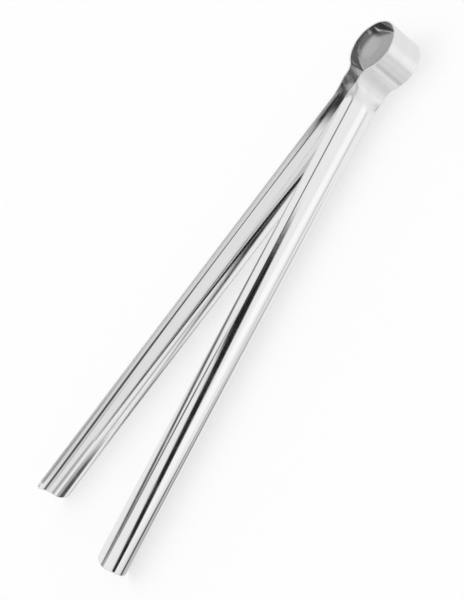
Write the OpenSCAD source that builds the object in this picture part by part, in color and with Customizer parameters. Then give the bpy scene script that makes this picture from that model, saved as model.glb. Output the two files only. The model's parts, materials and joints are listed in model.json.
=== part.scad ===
// Coal tongs bent from one strip of polished steel.
// They lie on one edge of the strip: x is the opening direction, y runs from the tips to the bow, z is up.
// The origin is on the table, midway between the tips and the top of the bow.

/* [Strip] */
// Length over all, from the tips to the top of the bow
total_length = 400; // [300:5:500]
// Thickness of the steel
strip_t = 1; // [0.8:0.1:1.5]
// Width of the strip at the bow, and of the pressed arms from edge to edge
strip_w = 27; // [22:0.5:32]

/* [Bow] */
// Inside radius of the round bow
loop_r = 18.5; // [16:0.5:23]
// Clear gap between the two sides at the neck
neck_gap = 14.6; // [12:0.2:18]

/* [Arms] */
// Radius of the outward bend at the neck, on its hollow side
neck_r = 9; // [6:0.5:12]
// Angle of each arm from the middle line, in degrees
arm_angle = 8; // [6:0.5:12]
// Depth of the pressed trough, from its crown to its edges
trough_depth = 6.3; // [4:0.1:7]
// How far the crown of the trough stands out from the line of the strip
crown_out = 2.3; // [1:0.1:3]
// Length of the shoulder, where the flat strip turns into the trough
shoulder_len = 16; // [10:1:30]
// Radius of the rounded corners at the tips
tip_r = 7; // [3:0.5:11]

/* [Hidden] */
$fn = 96;

// Neck and shoulder are one loft: its rings along each of them, and its steps across the strip
neck_rings = 10;
shoulder_rings = 12;
loft_steps = 24;
// The loft ends in a straight tongue inside the wall of the trough, with its faces a hair below the trough's
tongue_len = 1;
tongue_inset = 0.03;

// The arcs at the tip's corners run out a little past the edges
tip_run_out = 0.05;

// The bends are laid out on the middle of the strip's thickness
loop_mid_r = loop_r + strip_t / 2;
neck_mid_r = neck_r + strip_t / 2;
neck_mid_x = (neck_gap + strip_t) / 2;
loop_y = total_length / 2 - loop_r - strip_t;

// The round runs on below its widest point to where the neck bend carries on smoothly
loop_wrap = acos((neck_mid_x + neck_mid_r) / (loop_mid_r + neck_mid_r));
neck_turn = loop_wrap + arm_angle;

// The trough's outer face is an arc through its crown and both edges
trough_half_angle = half_angle(trough_depth);
trough_r = arc_radius(trough_half_angle);
trough_start = shoulder_len + tongue_len / 2;
crown_x = crown_out + strip_t / 2;

// Each straight arm starts where the neck bend ends, and its tip reaches the full length
neck_y = loop_y - (loop_mid_r + neck_mid_r) * sin(loop_wrap);
arm_root_y = neck_y - neck_mid_r * sin(arm_angle);
tip_half_w = strip_w / 2 - tip_r + tip_run_out;
tip_inner_x = sqrt((trough_r - strip_t) ^ 2 - tip_half_w ^ 2) - trough_r + crown_x;
arm_len = (arm_root_y + total_length / 2 + tip_inner_x * sin(arm_angle)) / cos(arm_angle);

// Half of the arc that spans the strip's width at a given depth, and its radius
function half_angle(depth) = 2 * atan(2 * depth / strip_w);
function arc_radius(half) = strip_w / 2 / sin(half);

// How far the shoulder has turned into the trough, from 0 to 1 with a smooth start and end
function shoulder_turn(share) = share * share * (3 - 2 * share);

// Depth of the loft's faces below those of the strip, along the shoulder
function shoulder_inset(share) = tongue_inset * share;

// A point of the strip's section, from the middle of its outer face, for a place across from -1 to 1
function strip_point(half, below, across) =
    half == 0
        ? [-below, across * strip_w / 2]
        : (arc_radius(half) - below) * [cos(across * half), sin(across * half)] - [arc_radius(half), 0];

// The section at a share of the shoulder: the outer face downwards, then the inner face upwards
function strip_section(share) =
    let (
        half = half_angle(trough_depth * shoulder_turn(share)),
        inset = shoulder_inset(share),
        across = 1 - 2 * inset / strip_w,
        steps = [for (i = [0 : loft_steps]) across * (1 - 2 * i / loft_steps)],
        outer = [for (place = steps) strip_point(half, inset, place)],
        inner = [for (place = steps) strip_point(half, strip_t - inset, -place)]
    )
    [for (p = concat(outer, inner)) p + [strip_t / 2 + crown_out * shoulder_turn(share), strip_w / 2]];

// A ring of the loft on the neck bend, by the turn that is left to its end
function neck_ring(turn) =
    [
        for (p = strip_section(0))
            [neck_mid_r - (neck_mid_r - p.x) * cos(turn), (neck_mid_r - p.x) * sin(turn), p.y]
    ];

// A ring of the loft on the shoulder, by its distance along the arm
function shoulder_ring(share, along) = [for (p = strip_section(share)) [p.x, -along, p.y]];

// Puts what follows at the right end of the bow, past the neck bend, with the arm along -y
module on_arm() {
    translate([0, loop_y, 0])
        rotate([0, 0, -loop_wrap])
            translate([loop_mid_r + neck_mid_r, 0, 0])
                rotate([0, 0, neck_turn])
                    translate([-neck_mid_r, 0, 0])
                        children();
}

// Section of the trough: an arc of the sheet with its crown outwards
module trough_section() {
    translate([crown_x - trough_r, strip_w / 2])
        intersection() {
            difference() {
                circle(trough_r);
                circle(trough_r - strip_t);
            }
            polygon([
                [0, 0],
                2 * trough_r * [cos(trough_half_angle), -sin(trough_half_angle)],
                2 * trough_r * [cos(trough_half_angle), sin(trough_half_angle)]
            ]);
        }
}

// Outline of the arm as seen from outside, wider than the arm up to the rounded corners of its tip
module arm_outline() {
    translate([0, -strip_t])
        square([arm_len - tip_r, strip_w + 2 * strip_t]);
    translate([0, strip_w / 2 - tip_half_w])
        square([arm_len, 2 * tip_half_w]);
    for (side = [-1, 1])
        translate([arm_len - tip_r, strip_w / 2 + side * tip_half_w])
            circle(tip_r);
}

// The straight trough from the shoulder to the rounded tip
module trough() {
    intersection() {
        translate([0, -trough_start, 0])
            rotate([90, 0, 0])
                linear_extrude(arm_len - trough_start)
                    trough_section();
        rotate([90, 0, -90])
            linear_extrude(4 * trough_depth + 4 * strip_t, center = true)
                arm_outline();
    }
}

// The neck bend and the pressed shoulder, lofted from the flat strip to the full trough
module neck_and_shoulder() {
    rings = concat(
        [for (i = [neck_rings : -1 : 1]) neck_ring(neck_turn * i / neck_rings)],
        [for (i = [0 : shoulder_rings]) shoulder_ring(i / shoulder_rings, shoulder_len * i / shoulder_rings)],
        [shoulder_ring(1, shoulder_len + tongue_len)]
    );
    count = len(rings[0]);
    walls = [
        for (ring = [0 : len(rings) - 2])
            for (i = [0 : count - 1])
                let (a = ring * count + i, b = ring * count + (i + 1) % count)
                    each [[a, b, b + count], [a, b + count, a + count]]
    ];
    start_cap = [
        for (i = [0 : loft_steps - 1])
            each [[i, count - 1 - i, count - 2 - i], [i, count - 2 - i, i + 1]]
    ];
    last = (len(rings) - 1) * count;
    end_cap = [for (face = start_cap) [face[2] + last, face[1] + last, face[0] + last]];
    points = [for (ring = rings) each ring];
    polyhedron(points, concat(walls, start_cap, end_cap), convexity = 4);
}

// One arm, on the right
module arm() {
    on_arm() {
        neck_and_shoulder();
        trough();
    }
}

module bow() {
    color("gainsboro")
        translate([0, loop_y, 0])
            rotate([0, 0, -loop_wrap])
                rotate_extrude(angle = 180 + 2 * loop_wrap)
                    translate([loop_r, 0])
                        square([strip_t, strip_w]);
}

module left_arm() {
    color("silver")
        mirror([1, 0, 0])
            arm();
}

module right_arm() {
    color("silver")
        arm();
}

bow();
left_arm();
right_arm();
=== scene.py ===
import json
import math

import bmesh
import bpy
from mathutils import Matrix, Vector


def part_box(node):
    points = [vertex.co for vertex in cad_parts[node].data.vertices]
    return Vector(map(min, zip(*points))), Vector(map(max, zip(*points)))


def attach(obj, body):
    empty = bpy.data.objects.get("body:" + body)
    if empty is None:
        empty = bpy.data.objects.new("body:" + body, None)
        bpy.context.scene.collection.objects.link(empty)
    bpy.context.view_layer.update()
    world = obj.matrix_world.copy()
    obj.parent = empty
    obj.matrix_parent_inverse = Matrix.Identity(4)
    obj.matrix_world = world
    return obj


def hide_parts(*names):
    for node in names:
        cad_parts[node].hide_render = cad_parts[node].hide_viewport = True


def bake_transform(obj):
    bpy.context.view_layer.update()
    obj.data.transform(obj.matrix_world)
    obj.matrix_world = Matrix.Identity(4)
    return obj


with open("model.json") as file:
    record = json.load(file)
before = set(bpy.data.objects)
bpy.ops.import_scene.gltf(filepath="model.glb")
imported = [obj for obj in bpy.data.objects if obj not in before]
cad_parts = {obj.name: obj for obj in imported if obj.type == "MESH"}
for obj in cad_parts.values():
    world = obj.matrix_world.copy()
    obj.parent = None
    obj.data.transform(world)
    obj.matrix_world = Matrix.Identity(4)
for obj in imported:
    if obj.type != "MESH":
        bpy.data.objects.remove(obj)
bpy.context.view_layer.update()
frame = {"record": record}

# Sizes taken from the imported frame, in metres
MOUNTS = {mount["name"]: mount for mount in frame["record"]["mounts"]}
HANGING_LOOP = MOUNTS["hanging_loop"]
LOOP_R = HANGING_LOOP["dims"]["r_mm"] / 1000
STRIP_W = HANGING_LOOP["dims"]["length_mm"] / 1000
LOOP_Y = HANGING_LOOP["pos_m"][1]
MID_Z = HANGING_LOOP["pos_m"][2]
CROWN_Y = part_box("bow")[1][1]
TIP_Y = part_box("right_arm")[0][1]
STRIP_T = CROWN_Y - LOOP_Y - LOOP_R

# Sizes of the bends and the pressed trough, as in the part's source
NECK_GAP = 0.0146
NECK_R = 0.009
ARM_ANGLE = math.radians(8)
TROUGH_DEPTH = 0.0063
CROWN_OUT = 0.0023
SHOULDER_LEN = 0.016
TIP_R = 0.007

# The bends are laid out on the middle of the strip's thickness
HALF_T = STRIP_T / 2
HALF_W = STRIP_W / 2
LOOP_MID_R = LOOP_R + HALF_T
NECK_MID_R = NECK_R + HALF_T
NECK_MID_X = NECK_GAP / 2 + HALF_T
LOOP_WRAP = math.acos((NECK_MID_X + NECK_MID_R) / (LOOP_MID_R + NECK_MID_R))
NECK_TURN = LOOP_WRAP + ARM_ANGLE
NECK_X = NECK_MID_X + NECK_MID_R
NECK_Y = LOOP_Y - (LOOP_MID_R + NECK_MID_R) * math.sin(LOOP_WRAP)
LOOP_END_Y = LOOP_Y - LOOP_MID_R * math.sin(LOOP_WRAP)

# Each arm has a direction along it and one across it, away from the other arm
ALONG_ARM = Vector((math.sin(ARM_ANGLE), -math.cos(ARM_ANGLE), 0))
OUT_OF_ARM = Vector((math.cos(ARM_ANGLE), math.sin(ARM_ANGLE), 0))
ARM_ROOT = Vector((NECK_X, NECK_Y, 0)) - NECK_MID_R * OUT_OF_ARM
SHOULDER_END_Y = ARM_ROOT.y - SHOULDER_LEN


def half_angle(depth):
    """Half of the arc that spans the strip's width at a given depth of trough."""
    return 2 * math.atan(2 * depth / STRIP_W)


TROUGH_HALF = half_angle(TROUGH_DEPTH)
TROUGH_R = HALF_W / math.sin(TROUGH_HALF)
TIP_HALF_W = HALF_W - TIP_R
TIP_INNER_X = math.sqrt((TROUGH_R - STRIP_T) ** 2 - TIP_HALF_W ** 2) - TROUGH_R + HALF_T + CROWN_OUT
ARM_LEN = (ARM_ROOT.y - TIP_Y + TIP_INNER_X * math.sin(ARM_ANGLE)) / math.cos(ARM_ANGLE)

# Steps of the meshes: across the strip, round its edges, and along its bends
FACE_STEPS = 36
EDGE_STEPS = 8
EDGE_SUPPORT = 0.994
LOOP_STEPS = 72
NECK_STEPS = 36
SHOULDER_STEPS = 40
TROUGH_STEPS = 24
CORNER_STEPS = 14
END_STEPS = 4

# The rounded end of the tip stops this far round, so that a narrow flat closes it
END_TURN = math.radians(80)

# With a smaller half angle than this the strip counts as flat
FLAT_ANGLE = 0.001


class Wire:
    """A node's socket. Arithmetic on it adds Math nodes."""

    def __init__(self, tree, socket=None):
        self.tree = tree
        self.socket = socket

    def node(self, kind, settings=None, sockets=None, out=0):
        """A new node of that type: its settings first, then the values or links of its sockets."""
        made = self.tree.nodes.new(kind)
        for name, value in (settings or {}).items():
            setattr(made, name, value)
        for name, value in (sockets or {}).items():
            if isinstance(value, Wire):
                value.feed(made.inputs[name])
            else:
                made.inputs[name].default_value = value
        return Wire(self.tree, made.outputs[out])

    def feed(self, socket):
        """Links this value into a socket."""
        self.tree.links.new(self.socket, socket)

    def number(self, operation, first, second=0.0):
        return self.node("ShaderNodeMath", {"operation": operation}, {0: first, 1: second})

    def vector(self, operation, other=(0, 0, 0), out="Vector"):
        return self.node("ShaderNodeVectorMath", {"operation": operation}, {0: self, 1: other}, out)

    def __add__(self, other):
        return self.number("ADD", self, other)

    def __radd__(self, other):
        return self.number("ADD", other, self)

    def __sub__(self, other):
        return self.number("SUBTRACT", self, other)

    def __rsub__(self, other):
        return self.number("SUBTRACT", other, self)

    def __mul__(self, other):
        return self.number("MULTIPLY", self, other)

    def __rmul__(self, other):
        return self.number("MULTIPLY", other, self)

    def __abs__(self):
        return self.number("ABSOLUTE", self)

    def dot(self, direction):
        """The share of a direction that runs along a fixed one."""
        return self.vector("DOT_PRODUCT", direction, "Value")

    def away(self, point):
        """The distance of a place from a fixed point."""
        return self.vector("DISTANCE", point, "Value")

    def rise(self, low, high):
        """Nothing below low, one above high, smooth between."""
        settings = {"interpolation_type": "SMOOTHSTEP"}
        return self.node("ShaderNodeMapRange", settings, {"Value": self, "From Min": low, "From Max": high})

    def band(self, middle, half, soft):
        """One within half of the middle, nothing outside, with soft borders."""
        return 1 - abs(self - middle).rise(half - soft, half + soft)


# Patterns of the steel: lines drawn out along the strip, and smears
FINE_STRETCH = (14, 2600, 1)
FINE_DETAIL = 3
BROAD_STRETCH = (9, 160, 1)
BROAD_DETAIL = 2
SMEAR_SCALE = 70
SMEAR_DETAIL = 4
SMEAR_EDGE = (0.4, 0.75)
NOISE_MIDDLE = 0.5

# Colour of the steel, and how much the patterns change it
STEEL_SHADE = 0.92
BROAD_SHADE = 0.09
FINE_SHADE = 0.05
SATIN_SHADE = 0.05
BLUE_TINT = 1.006

# Roughness of the polish, and how much more matt the other finishes are
POLISH = 0.05
SMEAR_MATT = 0.05
FINE_MATT = 0.03
SATIN_MATT = 0.2
INSIDE_POLISH = 0.6
NECK_MATT = 0.2

# The satin is full down to this share of the shoulder, and gone at its end
SATIN_SHARE = 0.65
SATIN_EDGE = (SHOULDER_END_Y, ARM_ROOT.y - SATIN_SHARE * SHOULDER_LEN)

# Borders of the bow's inside and of the neck's hollow side, within the sheet
INSIDE_EDGE = (LOOP_MID_R - HALF_T / 2, LOOP_MID_R + HALF_T / 2)
HOLLOW_EDGE = (NECK_R + STRIP_T / 20, NECK_MID_R + HALF_T / 2)

# Relief of the lines
FINE_RELIEF = 0.4
RELIEF_STRENGTH = 0.12
RELIEF_DEPTH = 0.00004


def lines_along(strip_map, stretch, detail):
    """Noise drawn out into lines along the strip."""
    drawn_out = strip_map.node("ShaderNodeMapping", {}, {"Vector": strip_map, "Scale": stretch})
    return strip_map.node("ShaderNodeTexNoise", {}, {"Vector": drawn_out, "Scale": 1, "Detail": detail})


def polished_steel():
    """Mirror polished stainless sheet, satin on the bow, with fine lines along it and faint smears."""
    material = bpy.data.materials.new("polished_steel")
    material.use_nodes = True
    shader = material.node_tree.nodes["Principled BSDF"]
    net = Wire(material.node_tree)
    strip_map = net.node("ShaderNodeTexCoord", out="UV")
    fine_lines = lines_along(strip_map, FINE_STRETCH, FINE_DETAIL)
    broad_lines = lines_along(strip_map, BROAD_STRETCH, BROAD_DETAIL)
    fine = fine_lines - NOISE_MIDDLE
    broad = broad_lines - NOISE_MIDDLE
    place = net.node("ShaderNodeTexCoord", out="Object")
    smears = net.node(
        "ShaderNodeTexNoise", {}, {"Vector": place, "Scale": SMEAR_SCALE, "Detail": SMEAR_DETAIL}
    )
    plan = place.vector("MULTIPLY", (1, 1, 0))
    right_plan = plan.vector("ABSOLUTE")
    satin = place.dot((0, 1, 0)).rise(*SATIN_EDGE)
    inside = 1 - plan.away((0, LOOP_Y, 0)).rise(*INSIDE_EDGE)
    in_neck = 1 - right_plan.away((NECK_X, NECK_Y, 0)).rise(*HOLLOW_EDGE)
    shade = STEEL_SHADE + BROAD_SHADE * broad + FINE_SHADE * fine
    shade = shade * (1 - SATIN_SHADE * satin)
    roughness = POLISH + SMEAR_MATT * smears.rise(*SMEAR_EDGE) + FINE_MATT * fine
    roughness = roughness + SATIN_MATT * satin * (1 - INSIDE_POLISH * inside) + NECK_MATT * in_neck
    colour = net.node(
        "ShaderNodeCombineColor", {}, {"Red": shade, "Green": shade, "Blue": BLUE_TINT * shade}
    )
    height = fine_lines * FINE_RELIEF + broad_lines
    relief = net.node(
        "ShaderNodeBump", {}, {"Strength": RELIEF_STRENGTH, "Distance": RELIEF_DEPTH, "Height": height}
    )
    colour.feed(shader.inputs["Base Color"])
    roughness.feed(shader.inputs["Roughness"])
    relief.feed(shader.inputs["Normal"])
    shader.inputs["Metallic"].default_value = 1
    return material


STEEL = polished_steel()


def rounded_edge_profile():
    """The strip's section as a ring: place across from -1 to 1, reach past the flat, side of the sheet."""
    inner_places = [2 * step / FACE_STEPS - 1 for step in range(1, FACE_STEPS)]
    face_places = [-1, -EDGE_SUPPORT] + inner_places + [EDGE_SUPPORT]
    ring = []
    for side in (1, -1):
        ring += [(side * place, 0, side) for place in face_places]
        for step in range(EDGE_STEPS):
            turn = math.pi * step / EDGE_STEPS
            ring.append((side, side * math.sin(turn), side * math.cos(turn)))
    return ring


PROFILE = rounded_edge_profile()


def bent_strip(name, stations, section, bend):
    """A closed strip: a long cylinder cut across at the stations, flattened and bent into place.

    section gives half of the width, the half thickness and the curve across at a station, and bend
    turns a distance along, one off the sheet and one up into a point.
    """
    around = len(PROFILE)
    rows = len(stations) - 1
    mesh = bpy.data.meshes.new(name)
    shape = bmesh.new()
    bmesh.ops.create_cone(
        shape, cap_ends=True, cap_tris=False, segments=around, radius1=1, radius2=1, depth=rows
    )
    lengthwise = [edge for edge in shape.edges if abs(edge.verts[0].co.z - edge.verts[1].co.z) > rows / 2]
    bmesh.ops.subdivide_edges(shape, edges=lengthwise, cuts=rows - 1)
    strip_map = shape.loops.layers.uv.new("strip")
    flat_places = {}
    for vert in shape.verts:
        row = round(vert.co.z + rows / 2)
        place = round(math.atan2(vert.co.y, vert.co.x) / (2 * math.pi) * around) % around
        share, reach, side = PROFILE[place]
        along = stations[row]
        half_width, half_thick, curve = section(along)
        across = share * (half_width - half_thick) + reach * half_thick
        off = side * half_thick
        up = across
        if curve > 0:
            radius = 1 / curve
            up = (radius + off) * math.sin(across * curve)
            off = (radius + off) * math.cos(across * curve) - radius
        flat_places[vert] = (along, across)
        vert.co = bend(along, off, up)
    for face in shape.faces:
        face.smooth = True
        for loop in face.loops:
            loop[strip_map].uv = flat_places[loop.vert]
        is_end = len(face.verts) > 4
        if is_end:
            for edge in face.edges:
                edge.smooth = False
    bmesh.ops.recalc_face_normals(shape, faces=shape.faces)
    if shape.calc_volume(signed=True) < 0:
        bmesh.ops.reverse_faces(shape, faces=shape.faces)
    shape.to_mesh(mesh)
    shape.free()
    mesh.materials.append(STEEL)
    piece = bpy.data.objects.new(name, mesh)
    bpy.context.scene.collection.objects.link(piece)
    return piece


def even_steps(start, end, count):
    """Places from start up to, but not with, end."""
    return [start + (end - start) * step / count for step in range(count)]


# Bow, in two halves that meet at the crown

LOOP_RUN = LOOP_MID_R * (math.pi / 2 + LOOP_WRAP)


def flat_section(along):
    """Half width, half thickness and curve across of the bow's strip, the same all along."""
    return HALF_W, HALF_T, 0


def round_the_bow(side):
    """Bends a strip round one half of the bow, from the crown down to the neck."""

    def bend(along, off, up):
        turn = math.pi / 2 - along / LOOP_MID_R
        radius = LOOP_MID_R + off
        return Vector((side * radius * math.cos(turn), LOOP_Y + radius * math.sin(turn), MID_Z + up))

    return bend


def bow_half(name, side):
    stations = even_steps(0, LOOP_RUN, LOOP_STEPS) + [LOOP_RUN]
    piece = bent_strip(name, stations, flat_section, round_the_bow(side))
    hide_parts("bow")
    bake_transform(piece)


bow_half("bow_right_half", 1)
bow_half("bow_left_half", -1)

# Arms, each with its neck bend, pressed shoulder, trough and rounded tip

NECK_RUN = NECK_MID_R * NECK_TURN


def arm_stations():
    """Distances along the strip from the arm's root, closest where the shape turns fastest."""
    corner_start = ARM_LEN - TIP_R
    end_start = ARM_LEN - HALF_T
    stations = even_steps(-NECK_RUN, 0, NECK_STEPS)
    stations += even_steps(0, SHOULDER_LEN, SHOULDER_STEPS)
    stations += even_steps(SHOULDER_LEN, corner_start, TROUGH_STEPS)
    corner_turn = math.asin(1 - HALF_T / TIP_R)
    for turn in even_steps(0, corner_turn, CORNER_STEPS):
        stations.append(corner_start + TIP_R * math.sin(turn))
    for step in range(END_STEPS):
        stations.append(end_start + HALF_T * math.sin(END_TURN * step / (END_STEPS - 1)))
    return stations


def shoulder_turn(along):
    """How far the flat strip has turned into the trough, from 0 to 1."""
    share = min(max(along / SHOULDER_LEN, 0), 1)
    return share * share * (3 - 2 * share)


def arm_section(along):
    """Half width, half thickness and curve across of the arm's strip."""
    half = half_angle(TROUGH_DEPTH * shoulder_turn(along))
    half_width = HALF_W
    curve = 0
    if half > FLAT_ANGLE:
        radius = HALF_W / math.sin(half)
        into_tip = max(along - ARM_LEN + TIP_R, 0)
        edge_height = TIP_HALF_W + math.sqrt(max(TIP_R ** 2 - into_tip ** 2, 0))
        curve = 1 / (radius - HALF_T)
        half_width = math.asin(edge_height / radius) / curve
    into_end = max(along - ARM_LEN + HALF_T, 0)
    half_thick = math.sqrt(max(HALF_T ** 2 - into_end ** 2, 0))
    return half_width, half_thick, curve


def along_the_arm(side):
    """Bends a strip round the neck and on along one arm."""

    def bend(along, off, up):
        if along < 0:
            turn = math.pi + ARM_ANGLE + along / NECK_MID_R
            radius = NECK_MID_R - off
            point = Vector((NECK_X + radius * math.cos(turn), NECK_Y + radius * math.sin(turn), 0))
        else:
            out = off + CROWN_OUT * shoulder_turn(along)
            point = ARM_ROOT + along * ALONG_ARM + out * OUT_OF_ARM
        return Vector((side * point.x, point.y, MID_Z + up))

    return bend


def tongs_arm(name, side, node):
    piece = bent_strip(name, arm_stations(), arm_section, along_the_arm(side))
    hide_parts(node)
    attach(piece, node)


tongs_arm("right_arm_strip", 1, "right_arm")
tongs_arm("left_arm_strip", -1, "left_arm")

# Floor, which keeps the shadow but isn't seen in the polish

FLOOR_WIDTH = 12.0
FLOOR_SHADE = 0.5
FLOOR_GLOW = 0.49


def matt_glow(name, shade):
    """A matt grey material whose shader can also glow."""
    material = bpy.data.materials.new(name)
    material.use_nodes = True
    inputs = material.node_tree.nodes["Principled BSDF"].inputs
    inputs["Base Color"].default_value = (shade, shade, shade, 1)
    inputs["Roughness"].default_value = 1
    inputs["Specular IOR Level"].default_value = 0
    inputs["Emission Strength"].default_value = 1
    return material, inputs


def level_sheet(name, middle, width, length, material):
    """A flat level sheet for the stage, with its middle at that point."""
    mesh = bpy.data.meshes.new(name)
    shape = bmesh.new()
    bmesh.ops.create_grid(shape, x_segments=1, y_segments=1, size=0.5)
    bmesh.ops.scale(shape, verts=shape.verts, vec=(width, length, 1))
    bmesh.ops.translate(shape, verts=shape.verts, vec=middle)
    shape.to_mesh(mesh)
    shape.free()
    mesh.materials.append(material)
    sheet = bpy.data.objects.new(name, mesh)
    bpy.context.scene.collection.objects.link(sheet)
    return sheet


def pale_floor():
    material, inputs = matt_glow("pale_floor", FLOOR_SHADE)
    seen = Wire(material.node_tree).node("ShaderNodeLightPath", out="Is Camera Ray")
    (FLOOR_GLOW * seen).feed(inputs["Emission Color"])
    floor = level_sheet("floor", (0, 0, 0), FLOOR_WIDTH, FLOOR_WIDTH, material)
    floor.visible_glossy = False


pale_floor()

# Studio: white all round, with the dark cards and bars that the polish shows

WORLD_LIGHT = 0.87
WHITE_WALLS = 0.88
# Each mirror after the first sees the world darker by this share, painted shade in the reflections between
# the mirrors
FURTHER_MIRROR = 0.95

# A white board on the right: how much it adds, softness of its border in degrees, and its corners
WHITE_BOARD = 0.13
BOARD_SOFT = 5
BOARD_CORNERS = (44, -22), (4, -22), (0, -48), (44, -48)

# Straight below it is darker, painted shade of the floor under the object as the polish shows it: how dark,
# and the shares of down at which that starts and is full
PAINTED_SHADE_BELOW = 0.35
BELOW_EDGE = (0.975, 0.99)

# A bar shows only on its own side of the sky, in full from this share of its direction on
BAR_FACING = 0.5

# Dark cards: how dark, softness of the border, and corners by azimuth and elevation. Angles are in degrees
DARK_CARDS = {
    "gap": (0.98, 0.9, (12.5, 21), (17.4, 11), (1.6, -33), (-4, -33)),
    "head of the gap": (0.95, 0.9, (11.8, 26), (18.3, 29.5), (17.3, 11), (11, 17)),
    "dark card at the left tip": (0.9, 1, (-27.2, 30), (-29.4, 42.5), (-45, 52), (-45, 34)),
    "grey card at the left tip": (0.5, 1, (-25.3, 17), (-27.2, 31), (-45, 35), (-45, 17)),
    "pale card low on the left": (0.1, 4, (0, -5), (-62, 5), (-60, -82), (-6, -76)),
    "dark card on the far side": (0.97, 4, (-140, -8), (-170, -14), (-158, -58), (-110, -66)),
    "gap at the back": (0.95, 1, (167.5, 24), (162.8, 10.5), (178.8, -32.5), (184.5, -32.5)),
}

# Dark bars: how dark, both ends, width, softness of the sides and fade of the ends. Angles are in degrees
DARK_BARS = {
    "seam": (0.8, (17.5, 27.5), (45, 30), 5, 0.8, 0.5),
    "right pole": (0.85, (30, 61.5), (14, 55), 5, 2.2, 4),
    "foot of the right pole": (0.9, (15.5, 56), (0, 30), 4, 1.3, 4),
    "short bar": (0.85, (12.5, 32), (6, 31), 6, 1.8, 2),
    "end of the short bar": (0.8, (7, 31.5), (0.5, 25), 4, 1.4, 2),
    "left post": (0.92, (-11.5, 16), (-12, 35), 7, 0.8, 7),
    "left pole": (0.92, (-13, 29), (-21, 44), 4, 1.4, 5),
    "top of the left pole": (0.5, (-20, 43.5), (-38, 57), 2.6, 1.5, 3),
    "far bar": (0.97, (-26.5, 58.5), (-42, 63), 10, 1.2, 1.5),
    "broad stripe": (0.3, (-11, 28), (-30, 28), 6, 8, 6),
    "narrow stripe": (0.65, (-18, 29), (-27.5, 32), 2.6, 1.2, 3),
    # Painted shade of the floor beside the left arm's lower edge, as the polish shows it
    "head of the floor shade line on the left": (0.6, (-4, -66), (-15, -77), 5, 2, 8),
    "floor shade line on the left": (0.95, (2, -73.5), (-46, -70.5), 7, 0.8, 5),
    "end of the floor shade line on the left": (0.9, (-38, -78), (-37, -43), 7, 2, 8),
    "thin line beside it": (0.45, (-27, -44), (-30, -33), 2.5, 0.8, 1),
    # Painted shade of the floor beside the arms and under them, as the polish shows it
    "head of the low floor shade bar": (0.28, (44, -60), (18, -66), 9, 3, 4),
    "low floor shade bar": (0.85, (17, -73), (-26, -75), 4, 1.5, 9),
    "floor shade bar below": (0.5, (40, -86), (-150, -68), 5, 2, 6),
    "slope on the far side": (0.97, (-152, -20), (-140, 33), 11, 2, 18),
    "grey bar on the left": (0.5, (-24, 4), (-28, -9), 6, 1.3, 5),
    "soft line at the neck": (0.42, (-57, -24), (-60, -45), 13, 4, 4),
    "back pole": (0.8, (150, 61.5), (166, 55), 5, 2.2, 4),
    "foot of the back pole": (0.7, (164.5, 56), (180, 30), 3, 1.3, 4),
    "back bar": (0.7, (146, 34), (172, 38), 5, 1.5, 3),
    "rail past the bow": (0.9, (46, 11), (134, 11), 7, 1.2, 5),
    "soft rail past the bow": (0.35, (52, -8), (128, -8), 9, 4, 5),
    "rail past the tips": (0.9, (-56, -5), (-124, -5), 6, 1.2, 3),
}


def toward(azimuth, elevation):
    """The direction at an azimuth from +X towards +Y and an elevation, in degrees."""
    level = math.cos(math.radians(elevation))
    across = level * math.cos(math.radians(azimuth))
    along = level * math.sin(math.radians(azimuth))
    return Vector((across, along, math.sin(math.radians(elevation))))


def card(way, soft, *corners):
    """One where a direction meets a flat card with those corners, with borders that many degrees soft."""
    points = [toward(*corner) for corner in corners]
    middle = sum(points, Vector((0, 0, 0)))
    edge = math.sin(math.radians(soft))
    mask = 1
    for first, second in zip(points, points[1:] + points[:1]):
        inwards = first.cross(second).normalized()
        if inwards.dot(middle) < 0:
            inwards = -inwards
        mask = mask * way.dot(inwards).rise(-edge, edge)
    return mask


def bar(way, start, end, width, soft, fade):
    """One where a direction meets a straight bar, soft at its sides and fading at its ends, in degrees."""
    first, last = toward(*start), toward(*end)
    across = first.cross(last).normalized()
    along = (last - first).normalized()
    edge = math.sin(math.radians(soft))
    reach = math.sin(math.radians(fade))
    beside = way.dot(across).band(0, math.sin(math.radians(width / 2)), edge)
    after = (way.dot(along) - along.dot(first)).rise(-reach, reach)
    before = (along.dot(last) - way.dot(along)).rise(-reach, reach)
    return beside * after * before * way.dot(first + last).rise(0, BAR_FACING)


def studio():
    """The world: white to the camera, even light on the object, and cards and bars for the polish."""
    world = bpy.data.worlds.new("studio")
    bpy.context.scene.world = world
    world.use_nodes = True
    background = world.node_tree.nodes["Background"].inputs
    net = Wire(world.node_tree)
    way = net.node("ShaderNodeTexCoord", out="Generated")
    shade = WHITE_WALLS + WHITE_BOARD * card(way, BOARD_SOFT, *BOARD_CORNERS)
    shade = shade * (1 - PAINTED_SHADE_BELOW * way.dot((0, 0, -1)).rise(*BELOW_EDGE))
    for dark, *sizes in DARK_CARDS.values():
        shade = shade * (1 - dark * card(way, *sizes))
    for dark, *sizes in DARK_BARS.values():
        shade = shade * (1 - dark * bar(way, *sizes))
    seen = net.node("ShaderNodeLightPath", out="Is Camera Ray")
    mirrored = net.node("ShaderNodeLightPath", out="Is Glossy Ray")
    mirrors = net.node("ShaderNodeLightPath", out="Glossy Depth")
    shade = shade * net.number("POWER", FURTHER_MIRROR, net.number("MAXIMUM", mirrors - 1, 0))
    strength = seen + (1 - seen) * (mirrored * shade + (1 - mirrored) * WORLD_LIGHT)
    strength.feed(background["Strength"])
    background["Color"].default_value = (1, 1, 1, 1)


studio()

# A glowing sheet with painted shade for the floor inside the bow and under the neck, seen only in the
# polish

SHADE_LIFT = 0.0002
SHADE_BACK = 0.07

# What only a second mirror shows comes in between these counts of mirrors
SECOND_MIRROR = (1, 2)

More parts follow.
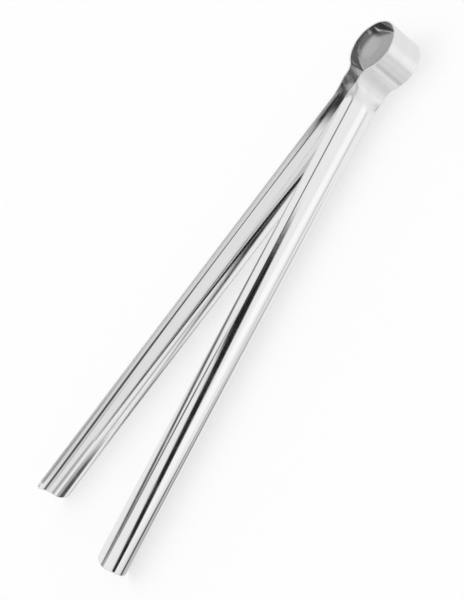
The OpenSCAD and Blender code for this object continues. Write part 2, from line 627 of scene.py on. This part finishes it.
# Painted shade inside the bow: brightness at the left wall, how much it gains to the right, and a faint
# darker streak
BOW_SHADE = 0.4
BOW_GAIN = 0.14
BOW_GAIN_EDGE = (-0.85 * LOOP_R, 0.45 * LOOP_R)
STREAK_SHADE = 0.06
STREAK_X = -0.3 * LOOP_R
STREAK_HALF = 0.05 * LOOP_R
STREAK_SOFT = 0.04 * LOOP_R

# Painted shade, darker there by the walls, in the left corner by the neck, and in a second mirror
WALL_DARK = 0.9
LIT_MIDDLE = (-0.004, LOOP_Y + 0.001, 0)
LIT_EDGE = (0.0148, 0.0172)
NECK_DARK = 0.7
CORNER_MIDDLE = (-0.002, LOOP_Y + 0.006, 0)
CORNER_EDGE = (0.015, 0.0175)
CORNER_X = (-0.002, 0.004)
CORNER_Y = (LOOP_Y - 0.004, LOOP_Y)
SECOND_DARK = 0.75

# Painted shade between the arms: brightness, how far the trough's edges stand inwards, and where the shade
# comes in
GAP_SHADE = 0.04
EDGES_INWARD = 0.0045
GAP_EDGE = (0.112, 0.137)
SECOND_GAP_EDGE = (0.085, 0.145)


def painted_floor_shade():
    material, inputs = matt_glow("painted_floor_shade", 0)
    net = Wire(material.node_tree)
    place = net.node("ShaderNodeTexCoord", out="Object")
    x = place.dot((1, 0, 0))
    y = place.dot((0, 1, 0))
    second = net.node("ShaderNodeLightPath", out="Glossy Depth").rise(*SECOND_MIRROR)
    in_bow = 1 - place.away((0, LOOP_Y, SHADE_LIFT)).rise(LOOP_R - STRIP_T, LOOP_R)
    inward = EDGES_INWARD * (1 - y.rise(SHOULDER_END_Y, ARM_ROOT.y))
    half_gap = NECK_GAP / 2 + (ARM_ROOT.y - y) * math.tan(ARM_ANGLE) - inward
    deep = net.number("MINIMUM", y.rise(*GAP_EDGE) + second * y.rise(*SECOND_GAP_EDGE), 1)
    between = (half_gap - abs(x)).rise(0, STRIP_T) * deep * (1 - in_bow)
    near_wall = place.away(LIT_MIDDLE).rise(*LIT_EDGE)
    low_left = (1 - x.rise(*CORNER_X)) * (1 - y.rise(*CORNER_Y))
    by_neck = place.away(CORNER_MIDDLE).rise(*CORNER_EDGE) * low_left
    streak = x.band(STREAK_X, STREAK_HALF, STREAK_SOFT)
    in_shade = BOW_SHADE + BOW_GAIN * x.rise(*BOW_GAIN_EDGE) - STREAK_SHADE * streak
    in_shade = in_shade * (1 - WALL_DARK * near_wall) * (1 - NECK_DARK * by_neck)
    in_shade = in_shade * (1 - SECOND_DARK * second)
    # The sheet glows with the painted shade where it covers, and is clear elsewhere
    (in_bow * in_shade + GAP_SHADE * between).feed(inputs["Emission Color"])
    (in_bow + between).feed(inputs["Alpha"])
    middle = (0, (CROWN_Y + SHADE_BACK) / 2, SHADE_LIFT)
    patch = level_sheet("painted_floor_shade", middle, 2 * LOOP_R, CROWN_Y - SHADE_BACK, material)
    patch.visible_camera = False
    patch.visible_diffuse = False
    patch.visible_shadow = False


painted_floor_shade()

# Lamp

LAMP_LIGHT = 0.5
LAMP_ANGLE = math.radians(45)
LAMP_WAY = Vector((0.55, 0.15, -0.8)).normalized()


def soft_lamp():
    """A wide soft lamp high on the left, which throws the shadows to the lower right."""
    lamp = bpy.data.lights.new("soft_lamp", "SUN")
    lamp.energy = LAMP_LIGHT
    lamp.angle = LAMP_ANGLE
    holder = bpy.data.objects.new("soft_lamp", lamp)
    holder.rotation_euler = LAMP_WAY.to_track_quat("-Z", "Y").to_euler()
    holder.visible_glossy = False
    bpy.context.scene.collection.objects.link(holder)


soft_lamp()

# Camera, fitted to the outlines in the photograph, with angles in degrees

PICTURE_HEIGHT = 600
FOCAL_PIXELS = 1388.33
SENSOR = 36.0
CAMERA_AIM = Vector((0.00478, -0.01234, 0.0135))
CAMERA_AZIMUTH = 1.644
CAMERA_ELEVATION = 34.533
CAMERA_ROLL = 58.09
CAMERA_DISTANCE = 0.93176


def photo_camera():
    data = bpy.data.cameras.new("photo_camera")
    data.sensor_fit = "VERTICAL"
    data.sensor_height = SENSOR
    data.sensor_width = SENSOR
    data.lens = SENSOR * FOCAL_PIXELS / PICTURE_HEIGHT
    camera = bpy.data.objects.new("photo_camera", data)
    back = toward(CAMERA_AZIMUTH, CAMERA_ELEVATION)
    side = Vector((0, 0, 1)).cross(back).normalized()
    upright = back.cross(side)
    roll = math.radians(CAMERA_ROLL)
    up = math.cos(roll) * upright + math.sin(roll) * side
    right = up.cross(back)
    turn = Matrix((right, up, back)).transposed().to_4x4()
    camera.matrix_world = Matrix.Translation(CAMERA_AIM + CAMERA_DISTANCE * back) @ turn
    bpy.context.scene.collection.objects.link(camera)
    bpy.context.scene.camera = camera


photo_camera()

bpy.context.scene.view_settings.view_transform = "Standard"
